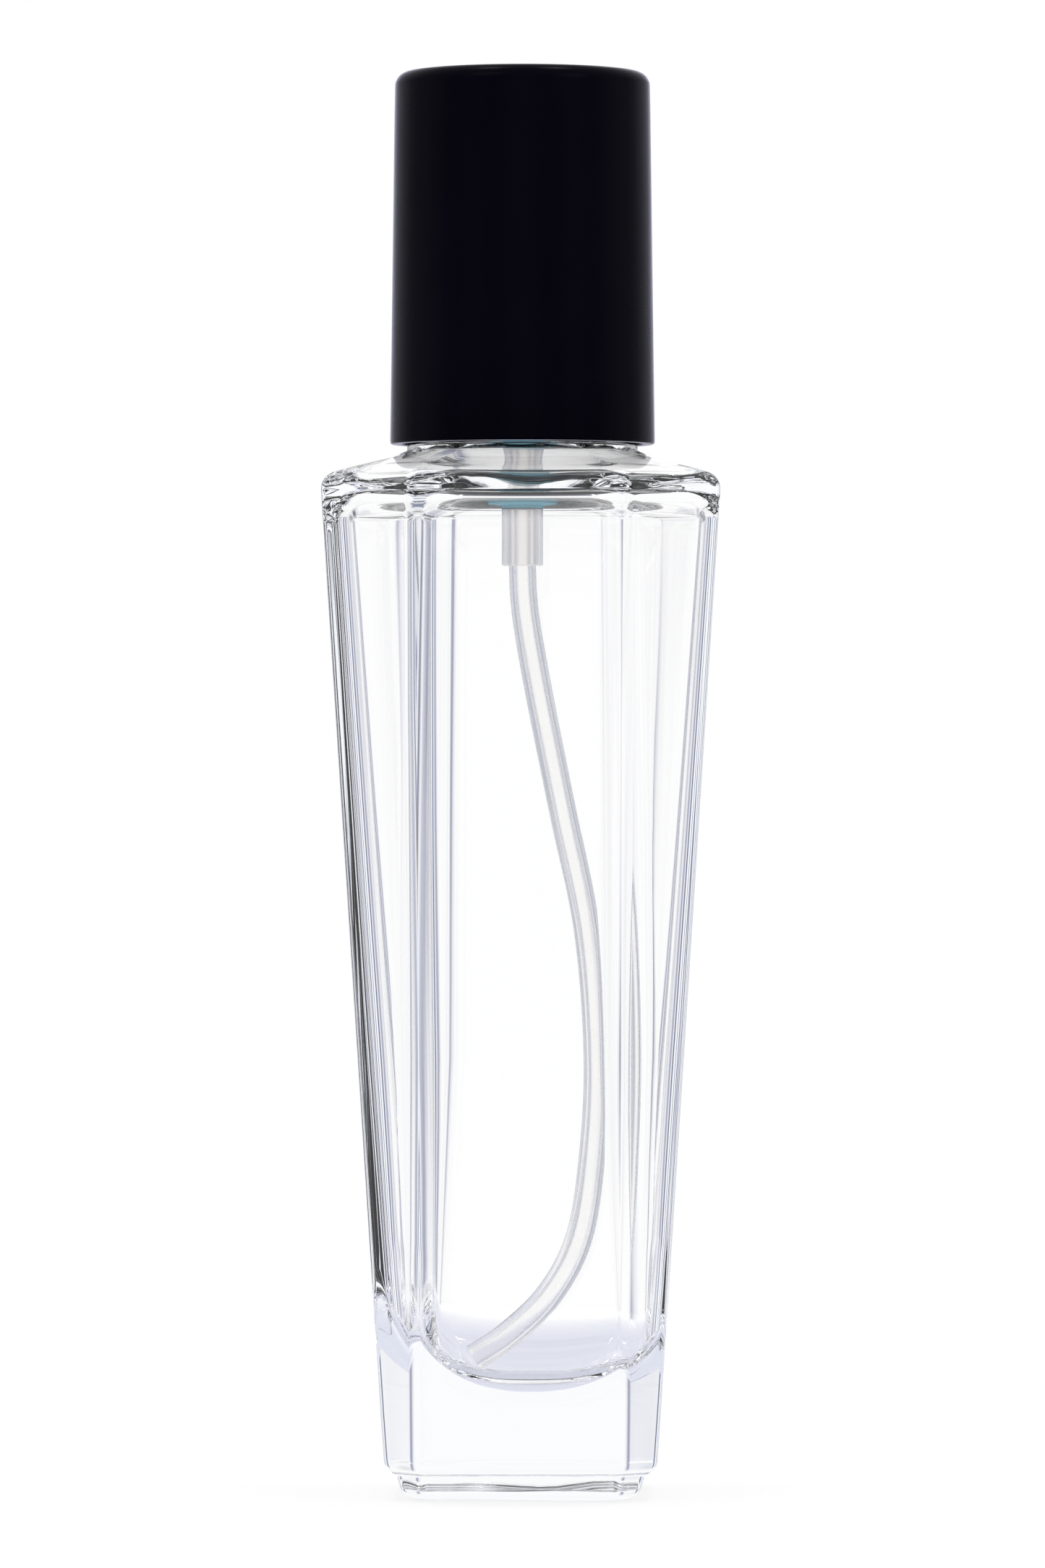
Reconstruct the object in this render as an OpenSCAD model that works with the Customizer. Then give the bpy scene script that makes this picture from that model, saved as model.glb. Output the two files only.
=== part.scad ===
// Spray bottle for aftershave: a tapered glass bottle with cut corners, a screw-on
// mist pump with its dip tube, and a pull-off overcap. Millimetres, +Z up, with the
// origin at the middle of the foot's underside. The nozzle faces -Y.

/* [Glass body] */
// Distance between opposite flats at the bottom of the body
body_bottom_w = 24.9; // [23:0.1:30]
// Distance between opposite flats at the shoulder's rim
body_top_w = 36.6; // [34:0.1:42]
// Width of each flat at the bottom of the body
flat_bottom_w = 19.2; // [14:0.1:20]
// Width of each flat at the shoulder's rim
flat_top_w = 20; // [16:0.1:24]
// Height of the body from the foot to the shoulder's rim
body_h = 91; // [70:0.5:120]
// Radius of the upright edges between flats and cut corners
edge_r = 1.2; // [0.4:0.1:2]
// Radius of the edge round the bottom of the body
base_edge_r = 1.2; // [0.4:0.1:1.2]
// Radius of the edge round the shoulder's rim
rim_edge_r = 1.7; // [0.8:0.1:2.2]
// Height that the shoulder rises from its rim to the flat round the neck
shoulder_rise = 2.6; // [1.5:0.1:5]
// Width of the flat round the neck
seat_d = 21.3; // [20:0.1:22]

/* [Foot] */
// Height of the recessed foot
foot_h = 2.5; // [1.5:0.1:4]
// How far the foot stands in from the body
foot_inset = 1.25; // [1.2:0.05:2]
// How far the foot narrows from its top to its underside
foot_taper = 0.4; // [0.1:0.1:1]
// Radius of the edge round the foot's underside
foot_edge_r = 1.1; // [0.5:0.1:1.3]
// Depth of the hollow in the foot's underside
punt_depth = 0.4; // [0.2:0.05:0.8]
// Width of the rim that the foot stands on
foot_rim_w = 2; // [1.5:0.1:4]

/* [Cavity] */
// Glass thickness in the middle of the flats
wall_t = 2.1; // [1.4:0.1:2.6]
// Glass thickness of the base, from the foot's underside to the cavity's floor
base_t = 9.9; // [7:0.1:14]
// Width of the cavity's flats at its floor
cavity_flat_bottom_w = 14.8; // [12:0.1:16]
// Width of the cavity's flats at the shoulder
cavity_flat_top_w = 17.4; // [14:0.1:20]
// Radius of the cavity's upright corners
cavity_corner_r = 6.2; // [3:0.1:6.5]
// Height over which the cavity's floor curves up into its walls
floor_rise = 8.5; // [4:0.5:12]
// Radius between the cavity's walls and the underside of the shoulder
ceiling_r = 1.8; // [0.8:0.1:4]
// Glass thickness of the shoulder at its rim
shoulder_t = 1.6; // [0.9:0.1:3]

/* [Neck] */
// Diameter of the neck below its thread's crest
neck_d = 15.5; // [14:0.1:18]
// Diameter of the bore through the neck
bore_d = 9.4; // [8.3:0.1:10.5]
// Height of the neck above the cap's seat
neck_h = 14; // [12:0.1:18]
// Height that the neck's thread stands out
thread_depth = 1.05; // [0.7:0.05:1.3]
// Rise of the thread in one turn
thread_pitch = 2.117; // [1.8:0.001:2.6]
// Turns of thread on the neck
neck_turns = 2.25; // [2:0.25:3]
// Turns of thread in the collar
collar_turns = 1.25; // [1:0.25:1.5]

/* [Collar] */
// Diameter over the collar's grip ribs
collar_d = 20.4; // [20.2:0.1:20.6]
// Number of grip ribs round the collar
grip_ribs = 60; // [36:4:80]
// Depth of the grooves between the ribs
grip_depth = 0.25; // [0.15:0.05:0.35]
// Thickness of the collar's top plate
collar_top_t = 1.3; // [1:0.1:2]
// Gap between the collar's skirt and the neck's thread
thread_gap = 0.3; // [0.2:0.05:0.4]

/* [Pump] */
// Bore of the pump chamber
chamber_d = 5; // [4.6:0.1:5.4]
// Wall of the pump chamber
chamber_wall = 0.7; // [0.5:0.05:0.9]
// How far the pump chamber hangs below the cap's seat
chamber_drop = 0.3; // [-0.5:0.1:2]
// Height of the taper between the chamber and the tube socket
chamber_taper_h = 0.9; // [0.6:0.1:2]
// Travel of the button
stroke = 4; // [3:0.1:4.4]
// Thickness of the neck gasket
gasket_t = 0.8; // [0.5:0.1:1.5]
// Thickness of the housing's flange
flange_t = 1; // [0.7:0.1:1.5]
// Diameter of the housing's flange
flange_d = 15.8; // [14.5:0.1:16.4]
// Diameter of the stem
stem_d = 3.4; // [3:0.1:3.8]
// Diameter of the turret that guides the button
turret_d = 10; // [9.6:0.1:10.4]
// Diameter of the inlet ball
ball_d = 2; // [1.8:0.1:2.2]
// Lift of the inlet ball off its seat
ball_lift = 0.6; // [0.3:0.1:1]
// Height of the piston
piston_h = 2.3; // [1.8:0.1:2.8]
// Slip of the piston along the stem that opens the outlet ports
piston_slip = 0.5; // [0.3:0.1:0.8]
// Wire diameter of the return spring
spring_wire = 0.4; // [0.3:0.05:0.5]
// Turns of the return spring
spring_turns = 5.5; // [4.5:0.5:6.5]

/* [Dip tube] */
// Outer diameter of the dip tube
tube_d = 2.6; // [2.2:0.1:2.8]
// Bore of the dip tube
tube_bore_d = 1.3; // [1:0.1:1.6]
// Length of the socket that grips the dip tube
socket_l = 9.9; // [7:0.1:12]
// Wall of the socket
socket_wall = 0.6; // [0.4:0.05:0.8]
// How far the tube bows to the side
tube_bow = 6.9; // [4:0.1:7.5]

/* [Button] */
// Diameter of the button
button_d = 12.4; // [12:0.1:13]
// Height of the button from its skirt to its rim
button_h = 9.6; // [9:0.1:11]
// Wall of the button's skirt
button_wall = 0.9; // [0.7:0.05:1]
// Depth of the finger dish
dish_depth = 0.7; // [0.4:0.1:0.9]
// Diameter of the nozzle insert
insert_d = 3.5; // [3.2:0.1:3.6]
// Diameter of the spray orifice
orifice_d = 0.35; // [0.25:0.05:0.5]

/* [Overcap] */
// Diameter of the cap at its mouth
cap_d = 24.4; // [24.2:0.1:26]
// Wall of the cap's outer shell
cap_wall = 1.15; // [0.9:0.05:1.2]
// Thickness of the cap's top
cap_top_t = 1.4; // [1:0.1:2.5]
// Draft of the cap's side, in degrees
cap_draft = 0.75; // [0.3:0.05:0.9]
// Radius of the edge round the cap's top
cap_edge_r = 1.3; // [0.6:0.1:2]
// Room between the button and the cap's top
cap_headroom = 1.2; // [0.5:0.1:4]
// Number of grip ribs in the cap's liner
liner_ribs = 12; // [8:2:20]
// How far the liner's lower edge stands in from the cap's mouth
liner_recess = 0.4; // [0.3:0.1:6]

/* [Hidden] */
$fn = 96;

// clearances
fit_gap = 0.05;       // parts that snap or press together
run_gap = 0.1;        // parts that turn or slide on each other
rest_gap = 0.3;       // parts that only come near each other
over = 1;             // how far a cutter runs past the face it cuts

// glass body: levels and slopes
corner_turn = 45;                                    // turn at each of the eight corners
offset_share = sqrt(2) - 1;                          // how much a flat narrows per unit of inset
edge_steps = 4;                                      // segments in each upright edge
arc_steps = 6;                                       // segments in each edge round the body
z_body = foot_h;
z_rim = z_body + body_h;
z_seat_foot = z_rim + shoulder_rise;                 // where the shoulder's slope ends
seat_h = 0.5;
z_seat = z_seat_foot + seat_h;                       // the flat round the neck
z_neck_top = z_seat + neck_h;
cap_gap = run_gap;                                   // between that flat and the cap's mouth
z_cap = z_seat + cap_gap;
cap_r = cap_d / 2;
cap_bore_r = cap_r - cap_wall;
seat_r = seat_d / 2;
taper = (body_top_w - body_bottom_w) / 2 / body_h;
taper_angle = atan(taper);
shoulder_run = body_top_w / 2 - seat_r;
shoulder_angle = atan(shoulder_rise / shoulder_run);

// neck and thread
neck_r = neck_d / 2;
bore_r = bore_d / 2;
neck_lip_r = 0.6;
thread_root_w = 1.15;
thread_crest_w = 0.6;
thread_sink = 0.3;                                   // how far a ridge is sunk into its wall
thread_fade = 40;                                    // degrees over which a ridge rises and falls
thread_steps = 36;                                   // segments in a turn
thread_land = 1.9;                                   // from the ridge's upper end to the neck's top
z_thread = z_neck_top - thread_land - neck_turns * thread_pitch; // the ridge's lower end
throat_drop = 0.1;                                   // from the slope's end to the bore's lower end
z_throat = z_seat_foot - throat_drop;

// collar
collar_r = collar_d / 2;
skirt_bore_r = neck_r + thread_depth + thread_gap;
collar_clear = 0.9;                                  // between the seat and the collar
z_collar = z_seat + collar_clear;
thread_lag = 0.75;                                   // turns from the neck ridge's upper end down
                                                     // to the collar ridge's upper end

// pump stack
z_gasket = z_neck_top;
z_flange = z_gasket + gasket_t;
z_flange_top = z_flange + flange_t;
turret_disc_t = 0.8;
z_plate = z_flange_top + turret_disc_t + run_gap;
z_collar_top = z_plate + collar_top_t;
chamber_r = chamber_d / 2;
housing_r = chamber_r + chamber_wall;
gasket_r = (flange_d / 2 + skirt_bore_r) / 2;
z_chamber = z_seat - chamber_drop;                   // where the chamber starts to taper
socket_r = tube_d / 2 + socket_wall;
z_socket_top = z_chamber - chamber_taper_h;
z_socket = z_socket_top - socket_l;
tube_grip = 8.4;                                     // how deep the tube sits in its socket
inlet_r = tube_bore_d / 2;

// button stack
button_r = button_d / 2;
z_button = z_collar_top + 2 * run_gap + stroke;
z_button_top = z_button + button_h;
z_turret_top = z_button + 1;
turret_r = turret_d / 2;
boss_r = 3.1;
boss_gap = 0.3;
z_turret_floor = z_turret_top - stroke - 0.4;
z_boss = z_turret_floor + stroke + 2 * run_gap;
z_ceiling = z_turret_top + stroke + 2 * run_gap;
stem_r = stem_d / 2;
stem_bore_r = 0.65;
z_stem_top = z_ceiling - 0.9;
insert_r = insert_d / 2;
insert_floor = 0.2;                                  // between the ceiling and the insert
z_nozzle = z_ceiling + insert_floor + insert_r;
insert_l = 2.3;
insert_face = 0.5;                                   // thickness of the insert's front
insert_recess = 0.2;                                 // how far the insert sits in from the skin
post_r = 0.9;
post_gap = 0.35;
feed_r = 0.35;
dish_r = 4.6;
button_edge_r = 0.5;

// inside the chamber
plug_l = 1.2;
z_plug = z_flange_top - plug_l;
shoulder_h = 0.6;                                    // the stem's shoulder, under the plug
stem_shoulder_r = 2.1;
z_stem_shoulder = z_plug - run_gap - shoulder_h;
z_piston_top = z_stem_shoulder - run_gap - piston_slip;
z_piston = z_piston_top - piston_h;
poppet_t = 0.7;
poppet_r = 2;
z_poppet = z_piston - fit_gap - poppet_t;
cage_h = 3.8;
cage_lip = 0.5;
z_cage_top = z_chamber + cage_h;
ball_r = ball_d / 2;
ball_gap = 0.15;                                     // round the ball in its cage
seat_hole_r = ball_r * 0.6;
z_lip = z_cage_top - cage_lip;
z_ball = z_lip - ball_lift - ball_r;                 // middle of the ball at rest
z_ball_seat = z_ball - sqrt(ball_r * ball_r - seat_hole_r * seat_hole_r) - 0.03;
spring_r = 1.95;                                     // to the middle of the wire
spring_sides = 8;
spring_steps = 16;                                   // segments in a turn
pin_r = 1.2;                                         // guide pin inside the spring
pin_l = 1.5;
seat_plug_l = 1;                                     // plug that holds the seat in the stem

// dip tube: side step as a share of the bow, height as a share of the drop
tube_route = [[0, 1], [0.04, 0.94], [0.22, 0.84], [0.54, 0.69], [0.87, 0.54], [1, 0.38],
    [0.93, 0.25], [0.75, 0.15], [0.36, 0.08], [-0.18, 0.03], [-0.65, 0]];
tube_sides = 16;
tube_steps = 4;                                      // rings between two points of the route
tip_gap = 1.4;                                       // between the tube's cut end and the floor
z_tip = base_t + tip_gap + tube_d / 2;               // middle of the tube's cut end

// overcap
z_cap_inside = z_button_top + cap_headroom;
z_cap_top = z_cap_inside + cap_top_t;
cap_mouth_edge = 0.2;
liner_t = 0.55;
liner_shelf_t = 0.8;
liner_rib_w = 0.6;
z_liner = z_cap + liner_recess;
z_shelf = z_collar_top + rest_gap;

// ---- helpers ----

// unit vector at an angle in the XY plane
function dir(t) = [cos(t), sin(t)];

// point between two points or numbers
function mix(p, q, w) = p + (q - p) * w;

// radius of the cap's side at a height, outside or inside
function cap_side(z, r) = r - (z - z_cap) * tan(cap_draft);

// corner number k of an octagon with flats at distance a and half width f
function oct_corner(k, a, f) =
    let (q = floor(k / 2) * 90, p = k % 2 == 0 ? [f, -a] : [a, -f])
    [p.x * cos(q) - p.y * sin(q), p.x * sin(q) + p.y * cos(q)];

// outline of that octagon with round corners, blended to a circle of radius a by share w
function outline(a, f, r, w) =
    let (side = min(f, (a - f) / sqrt(2)),
        round_r = max(0.02, min(r, 0.98 * side / tan(corner_turn / 2))))
    [for (k = [0:7], j = [0:edge_steps])
        let (m = (k + 0.5) * corner_turn - 90,
            t = m + corner_turn * (j / edge_steps - 0.5),
            p = oct_corner(k, a, f) + round_r * (dir(t) - dir(m) / cos(corner_turn / 2)))
        mix(p, p * a / norm(p), w)];

// centre of an arc of radius r that touches two lines with outward normals m and n
// which meet at corner p
function arc_centre(p, m, n, r) = p - (m + n) * r / (1 + m * n);

// half distance between flats, and half width of a flat, at height z of the outside
function wall_at(z) = mix(body_bottom_w, body_top_w, (z - z_body) / body_h) / 2;
function flat_at(z) = mix(flat_bottom_w, flat_top_w, (z - z_body) / body_h) / 2;

// one outside level: inset from the wall's line at height z, blended to a circle by share w
function outer_ring(z, inset, w = 0) =
    [for (p = outline(wall_at(z) - inset, flat_at(z) - offset_share * inset, edge_r, w))
        [p.x, p.y, z]];

// a solid through rings of points, each with as many points, from the first to the last
module skin(rings) {
    n = len(rings[0]);
    m = len(rings);
    polyhedron(
        points = [for (ring = rings, p = ring) p],
        faces = concat(
            [[for (i = [0:n - 1]) i]],
            [for (j = [0:m - 2], i = [0:n - 1], half = [0, 1])
                let (lo = j * n + i, lo_next = j * n + (i + 1) % n)
                half == 0 ? [lo, lo + n, lo_next + n] : [lo, lo_next + n, lo_next]],
            [[for (i = [n - 1:-1:0]) (m - 1) * n + i]]));
}

// a plain ring or disc round the Z axis
module ring(r_out, r_in, z, h) {
    translate([0, 0, z])
        difference() {
            cylinder(r = r_out, h = h);
            if (r_in > 0)
                translate([0, 0, -over]) cylinder(r = r_in, h = h + 2 * over);
        }
}

// a solid of revolution from [radius, height] points
module lathe(points) {
    rotate_extrude() polygon(points);
}

// a cutter along Z
module hole(r, z, h) {
    translate([0, 0, z]) cylinder(r = r, h = h);
}

// a screw ridge between radii r_in and r_out whose widths there are w_in and w_out;
// its ends fade towards the wall it grows from, on radius r_wall
module ridge(r_in, w_in, r_out, w_out, r_wall, z, turns, start) {
    steps = round(turns * thread_steps);
    skin([for (i = [0:steps])
        let (t = start + 360 * turns * i / steps,
            rise = z + thread_pitch * turns * i / steps,
            gone = 360 * turns * min(i, steps - i) / steps,
            full = 0.02 + 0.98 * min(1, gone / thread_fade),
            a = mix(r_wall, r_in, full),
            b = mix(r_wall, r_out, full))
        [[a * cos(t), a * sin(t), rise + w_in / 2],
            [b * cos(t), b * sin(t), rise + w_out / 2],
            [b * cos(t), b * sin(t), rise - w_out / 2],
            [a * cos(t), a * sin(t), rise - w_in / 2]]]);
}

// ---- glass ----

module glass_outside() {
    wall_normal = [cos(taper_angle), -sin(taper_angle)];
    rim_normal = [sin(shoulder_angle), cos(shoulder_angle)];
    base = arc_centre([wall_at(z_body), z_body], wall_normal, [0, -1], base_edge_r);
    rim = arc_centre([wall_at(z_rim), z_rim], wall_normal, rim_normal, rim_edge_r);
    foot_top_r = wall_at(z_body) - foot_inset;
    foot_angle = atan(foot_taper / foot_h);
    foot_c = arc_centre([foot_top_r - foot_taper, 0], [cos(foot_angle), -sin(foot_angle)],
        [0, -1], foot_edge_r);
    rim_end = rim.x + rim_edge_r * cos(90 - shoulder_angle);
    foot_arc = [for (i = [0:arc_steps])
        let (t = mix(-90, -foot_angle, i / arc_steps), z = foot_c.y + foot_edge_r * sin(t))
        outer_ring(z, wall_at(z) - foot_c.x - foot_edge_r * cos(t))];
    base_arc = [for (i = [0:arc_steps])
        let (t = mix(-90, -taper_angle, i / arc_steps), z = base.y + base_edge_r * sin(t))
        outer_ring(z, wall_at(z) - base.x - base_edge_r * cos(t))];
    rim_arc = [for (i = [0:arc_steps])
        let (t = mix(-taper_angle, 90 - shoulder_angle, i / arc_steps),
            z = rim.y + rim_edge_r * sin(t))
        outer_ring(z, wall_at(z) - rim.x - rim_edge_r * cos(t))];
    shoulder_steps = 8;
    shoulder = [for (i = [1:shoulder_steps])
        let (u = i / shoulder_steps,
            x = mix(rim_end, seat_r, u),
            z = z_rim + shoulder_rise * (body_top_w / 2 - x) / shoulder_run)
        outer_ring(z, wall_at(z) - x, u * u * (3 - 2 * u))];
    seat_top = [for (p = shoulder[shoulder_steps - 1]) [p.x, p.y, z_seat]];
    foot_top = outer_ring(z_body, foot_inset);
    skin(concat(foot_arc, [foot_top], base_arc, rim_arc, shoulder, [seat_top]));
}

// half distance between the cavity's flats, and half width of its flats
function cavity_at(z) = wall_at(z) - wall_t;
function cavity_flat_at(z) =
    mix(cavity_flat_bottom_w, cavity_flat_top_w, (z - base_t) / (z_rim - base_t)) / 2;

function cavity_ring(z, inset, w) =
    [for (p = outline(cavity_at(z) - inset, cavity_flat_at(z) - offset_share * inset,
            cavity_corner_r, w))
        [p.x, p.y, z]];

module glass_cavity() {
    wall_normal = [cos(taper_angle), -sin(taper_angle)];
    z_ceiling_rim = z_rim - shoulder_t;
    throat_run = cavity_at(z_ceiling_rim) - bore_r;
    throat_angle = atan((z_throat - z_ceiling_rim) / throat_run);
    ceiling_normal = [sin(throat_angle), cos(throat_angle)];
    top_c = arc_centre([cavity_at(z_ceiling_rim), z_ceiling_rim], wall_normal,
        ceiling_normal, ceiling_r);
    floor_steps = 10;
    floor_start = 6;
    bowl = [for (i = [0:floor_steps])
        let (t = mix(floor_start, 90 - taper_angle, i / floor_steps),
            z = base_t + floor_rise * (cos(floor_start) - cos(t)),
            share = sin(t) / cos(taper_angle))
        [for (p = outline(cavity_at(z) * share, cavity_flat_at(z) * share,
                cavity_corner_r * share, pow(1 - i / floor_steps, 2)))
            [p.x, p.y, z]]];
    top_arc = [for (i = [0:arc_steps])
        let (t = mix(-taper_angle, 90 - throat_angle, i / arc_steps),
            z = top_c.y + ceiling_r * sin(t))
        cavity_ring(z, cavity_at(z) - top_c.x - ceiling_r * cos(t), 0)];
    top_end = top_c.x + ceiling_r * sin(throat_angle);
    throat_steps = 8;
    throat = [for (i = [1:throat_steps])
        let (x = mix(top_end, bore_r - 0.01, i / throat_steps),
            z = z_throat - (x - bore_r) * tan(throat_angle),
            u = min(1, max(0, (body_top_w / 2 - rim_edge_r - x) / shoulder_run)))
        cavity_ring(z, cavity_at(z) - x, u * u * (3 - 2 * u))];
    skin(concat(bowl, top_arc, throat));
}

module glass_bottle() {
    punt_r = wall_at(z_body) - foot_inset - foot_taper - foot_edge_r - foot_rim_w;
    color([0.82, 0.88, 0.9, 0.45])
    difference() {
        union() {
            glass_outside();
            translate([0, 0, z_seat - over])
                lathe([[0, 0], [neck_r, 0], [neck_r, neck_h + over - neck_lip_r],
                    for (t = [15:15:75])
                        [neck_r - neck_lip_r + neck_lip_r * cos(t),
                            neck_h + over - neck_lip_r + neck_lip_r * sin(t)],
                    [neck_r - neck_lip_r, neck_h + over], [0, neck_h + over]]);
            ridge(neck_r - thread_sink, thread_root_w, neck_r + thread_depth,
                thread_crest_w, neck_r - thread_sink, z_thread, neck_turns, 0);
        }
        glass_cavity();
        hole(bore_r, z_throat - fit_gap, z_neck_top - z_throat + over);
        translate([0, 0, -over])
            cylinder(r1 = punt_r + over * 0.4, r2 = punt_r - punt_depth, h = over + punt_depth);
    }
}

// ---- closure ----

module neck_gasket() {
    color([0.1, 0.5, 0.62]) ring(gasket_r, housing_r + run_gap, z_gasket, gasket_t);
}

module screw_collar() {
    ridge_turn = neck_turns - thread_lag - collar_turns; // turns above the neck ridge's start
    color([0.07, 0.07, 0.08])
    union() {
        difference() {
            translate([0, 0, z_collar])
                linear_extrude(z_collar_top - z_collar)
                    polygon([for (i = [0:grip_ribs * 4 - 1])
                        (collar_r - (i % 4 < 2 ? 0 : grip_depth)) * dir(90 * i / grip_ribs)]);
            hole(skirt_bore_r, z_collar - over, z_plate - z_collar + over);
            hole(turret_r + run_gap, z_plate - over, collar_top_t + 2 * over);
        }
        ridge(neck_r + thread_gap, thread_crest_w, skirt_bore_r + thread_sink,
            thread_root_w, skirt_bore_r + thread_sink,
            z_thread + (ridge_turn + 0.5) * thread_pitch, collar_turns, 360 * ridge_turn);
    }
}

// ---- pump ----

module pump_housing() {
    color([0.93, 0.93, 0.92, 0.7])
    difference() {
        lathe([[0, z_socket], [socket_r, z_socket], [socket_r, z_socket_top],
            [housing_r, z_chamber], [housing_r, z_flange], [flange_d / 2, z_flange],
            [flange_d / 2, z_flange_top], [0, z_flange_top]]);
        hole(chamber_r, z_chamber, z_flange_top - z_chamber + over);
        hole(inlet_r, z_socket, z_chamber - z_socket + over);
        hole(tube_d / 2, z_socket - over, tube_grip + over);
    }
}

module ball_cage() {
    notch_w = 0.7;
    lip_r = ball_r * 0.75;
    color([0.05, 0.5, 0.62])
    difference() {
        ring(chamber_r - fit_gap, seat_hole_r, z_chamber, cage_h);
        hole(ball_r + ball_gap, z_ball_seat, z_lip - z_ball_seat);
        hole(lip_r, z_lip - over, cage_lip + 2 * over);
        for (q = [0, 90])
            rotate([0, 0, q])
                translate([-ball_r - ball_gap, -notch_w / 2, z_lip - over])
                    cube([2 * (ball_r + ball_gap), notch_w, cage_lip + 2 * over]);
    }
}

module inlet_ball() {
    color([0.75, 0.76, 0.78]) translate([0, 0, z_ball]) sphere(r = ball_r);
}

module return_spring() {
    wire_r = spring_wire / 2;
    low = z_cage_top + wire_r;
    high = z_poppet - wire_r;
    steps = round(spring_turns * spring_steps);
    color([0.72, 0.73, 0.75])
    skin([for (i = [0:steps])
        let (t = 360 * spring_turns * i / steps, z = mix(low, high, i / steps))
        [for (j = [spring_sides - 1:-1:0])
            let (s = 360 * j / spring_sides, r = spring_r + wire_r * cos(s))
            [r * cos(t), r * sin(t), z + wire_r * sin(s)]]]);
}

module piston_seat() {
    color([0.9, 0.9, 0.88])
    union() {
        ring(poppet_r, 0, z_poppet, poppet_t);
        ring(pin_r, 0, z_poppet - pin_l, pin_l);
        ring(stem_bore_r - fit_gap, 0, z_poppet + poppet_t, seat_plug_l);
    }
}

module piston() {
    lip = 0.25;
    color([0.96, 0.96, 0.94])
    difference() {
        lathe([[0, z_piston], [chamber_r - run_gap - lip, z_piston + lip],
            [chamber_r - fit_gap, z_piston], [chamber_r - fit_gap, z_piston + 2 * lip],
            [chamber_r - run_gap - lip, z_piston + piston_h / 2],
            [chamber_r - fit_gap, z_piston_top - 2 * lip],
            [chamber_r - fit_gap, z_piston_top], [0, z_piston_top]]);
        hole(stem_r + fit_gap, z_piston - over, piston_h + 2 * over);
    }
}

module stem() {
    port_r = 0.3;
    color([0.94, 0.94, 0.93])
    difference() {
        union() {
            ring(stem_r, stem_bore_r, z_poppet + poppet_t, z_stem_top - z_poppet - poppet_t);
            ring(stem_shoulder_r, stem_bore_r, z_stem_shoulder, shoulder_h);
        }
        for (q = [0, 90])
            translate([0, 0, z_poppet + poppet_t + seat_plug_l + 2 * port_r])
                rotate([90, 0, q])
                    translate([0, 0, -stem_r - over]) cylinder(r = port_r, h = 2 * stem_r + 2 * over);
    }
}

module turret() {
    disc_r = 6.6;
    color([0.9, 0.9, 0.9])
    difference() {
        union() {
            ring(chamber_r - fit_gap, 0, z_plug, plug_l);
            ring(disc_r, 0, z_flange_top, turret_disc_t);
            ring(turret_r, 0, z_flange_top, z_turret_top - z_flange_top);
        }
        hole(stem_r + run_gap, z_plug - over, z_turret_floor - z_plug + 2 * over);
        hole(boss_r + boss_gap, z_turret_floor, z_turret_top - z_turret_floor + over);
    }
}

// ---- button ----

module button() {
    skirt_bore = button_r - button_wall;
    pocket_l = insert_l + insert_recess + 0.3;
    dish_steps = 6;
    color([0.07, 0.07, 0.08])
    difference() {
        union() {
            difference() {
                lathe([[0, z_button], [button_r, z_button],
                    [button_r, z_button_top - button_edge_r],
                    for (t = [15:15:75])
                        [button_r - button_edge_r + button_edge_r * cos(t),
                            z_button_top - button_edge_r + button_edge_r * sin(t)],
                    [button_r - button_edge_r, z_button_top],
                    for (i = [dish_steps:-1:0])
                        [dish_r * i / dish_steps,
                            z_button_top - dish_depth * (1 - pow(i / dish_steps, 2))]]);
                hole(skirt_bore, z_button - over, z_ceiling - z_button + over);
            }
            ring(boss_r, 0, z_boss, z_ceiling - z_boss + fit_gap);
        }
        hole(stem_r + fit_gap, z_boss - over, z_stem_top - z_boss + over);
        hole(stem_bore_r, z_stem_top - over, z_nozzle - post_r - z_stem_top + over);
        translate([0, 0, z_nozzle - (post_r + insert_r) / 2])
            rotate([90, 0, 0]) cylinder(r = feed_r, h = button_r - pocket_l + over / 2);
        translate([0, -button_r + pocket_l, z_nozzle])
            rotate([90, 0, 0])
                difference() {
                    cylinder(r = insert_r, h = pocket_l + over);
                    translate([0, 0, -over])
                        cylinder(r = post_r, h = insert_l - insert_face - post_gap + over);
                }
    }
}

module nozzle_insert() {
    mouth_r = 0.8;
    mouth_depth = 0.25;
    color([0.9, 0.9, 0.88])
    translate([0, -button_r + insert_recess, z_nozzle])
        rotate([-90, 0, 0])
            difference() {
                cylinder(r = insert_r, h = insert_l);
                translate([0, 0, insert_face])
                    cylinder(r = post_r + post_gap, h = insert_l);
                translate([0, 0, -over]) cylinder(r = orifice_d / 2, h = insert_l);
                translate([0, 0, -over]) cylinder(r = mouth_r, h = over + mouth_depth);
            }
}

// ---- dip tube ----

// a point on the smooth curve through the route, at share t of the span after point i
function curve(p, i, t) =
    let (n = len(p) - 1, a = p[max(0, i - 1)], b = p[i], c = p[min(n, i + 1)],
        d = p[min(n, i + 2)])
    (2 * b + (c - a) * t + (2 * a - 5 * b + 4 * c - d) * t * t
        + (3 * b - a - 3 * c + d) * t * t * t) / 2;

// [x, z] points along the tube, from its tip to its top inside the socket
tube_points = [for (p = [for (i = [len(tube_route) - 1:-1:0]) tube_route[i]])
    [tube_bow * p.x, mix(z_tip, z_socket, p.y)]];
tube_line = concat(
    [for (i = [0:len(tube_points) - 2], j = [0:tube_steps - 1])
        curve(tube_points, i, j / tube_steps)],
    [[0, z_socket], [0, z_socket + tube_grip]]);

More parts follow.
